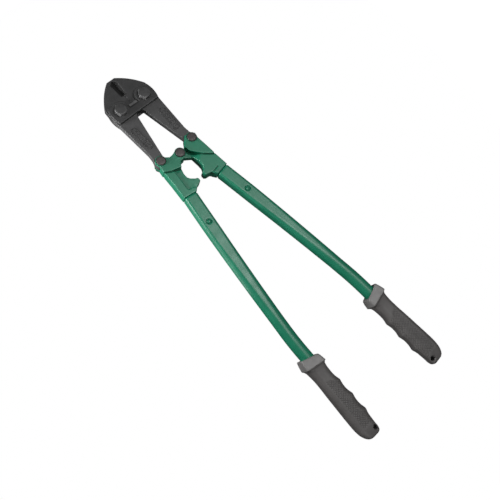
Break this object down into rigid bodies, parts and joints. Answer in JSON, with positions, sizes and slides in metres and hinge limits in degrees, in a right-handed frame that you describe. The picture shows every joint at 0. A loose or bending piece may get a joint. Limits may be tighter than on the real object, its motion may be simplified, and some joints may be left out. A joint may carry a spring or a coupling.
{
  "type": "bolt cutters",
  "caption": "Compound-lever bolt cutters with bolted side plates, forged jaws, forged handle heads, tube handles and moulded grips.",
  "frame": {"origin": "centre of the bounding box in X and Y, at the height of the lowest point, which is the rear end of the jaw bolts", "axes": "+X across the handles, +Y along the tool towards the jaw tip, +Z from the nuts to the bolt heads"},
  "size_m": [0.179, 0.6203, 0.0358],
  "materials": {
    "blackened_steel": "blackened steel plate, satin",
    "forged_steel": "forged steel, dark satin scale",
    "bolt_steel": "black oxide bolt steel, worn at the corners",
    "pin_steel": "dark oiled steel",
    "green_paint": "dark green enamel, satin",
    "grip_rubber": "grey moulded grip, matte with a fine cross-hatch"
  },
  "bodies": {
    "cutter_head": {"front_plate": "blackened_steel", "rear_plate": "blackened_steel", "left_jaw_bolt": "bolt_steel", "right_jaw_bolt": "bolt_steel", "left_jaw_washer": "bolt_steel", "right_jaw_washer": "bolt_steel", "left_jaw_nut": "bolt_steel", "right_jaw_nut": "bolt_steel"},
    "jaw_left": {"left_jaw": "forged_steel"},
    "jaw_right": {"right_jaw": "forged_steel"},
    "handle_left": {"left_handle_head": "green_paint", "left_tail_pin": "pin_steel", "left_tail_nut": "pin_steel", "centre_pin": "pin_steel", "centre_nut": "pin_steel", "left_tube": "green_paint", "left_rivet": "green_paint", "left_grip": "grip_rubber"},
    "handle_right": {"right_handle_head": "green_paint", "right_tail_pin": "pin_steel", "right_tail_nut": "pin_steel", "right_tube": "green_paint", "right_rivet": "green_paint", "right_grip": "grip_rubber"}
  },
  "joints": [
    {"name": "left_jaw_pivot", "type": "hinge", "parent": "cutter_head", "child": "jaw_left", "pos_m": [-0.022, 0.262, 0.01855], "axis": [0, 0, 1], "range_deg": [0, 7.29]},
    {"name": "right_jaw_pivot", "type": "hinge", "parent": "cutter_head", "child": "jaw_right", "pos_m": [0.022, 0.262, 0.01855], "axis": [0, 0, -1], "range_deg": [0, 7.29]},
    {"name": "left_handle_pivot", "type": "hinge", "parent": "jaw_left", "child": "handle_left", "pos_m": [-0.0298, 0.1695, 0.01855], "axis": [0, 0, -1], "range_deg": [0, 47.28]},
    {"name": "right_handle_pivot", "type": "hinge", "parent": "jaw_right", "child": "handle_right", "pos_m": [0.0298, 0.1695, 0.01855], "axis": [0, 0, 1], "range_deg": [0, 47.28]}
  ],
  "couplings": [
    {"joint": "right_handle_pivot", "follows": "left_handle_pivot", "ratio": 1},
    {"joint": "left_jaw_pivot", "follows": "left_handle_pivot", "ratio": 0.15407},
    {"joint": "right_jaw_pivot", "follows": "left_handle_pivot", "ratio": 0.15407}
  ]
}
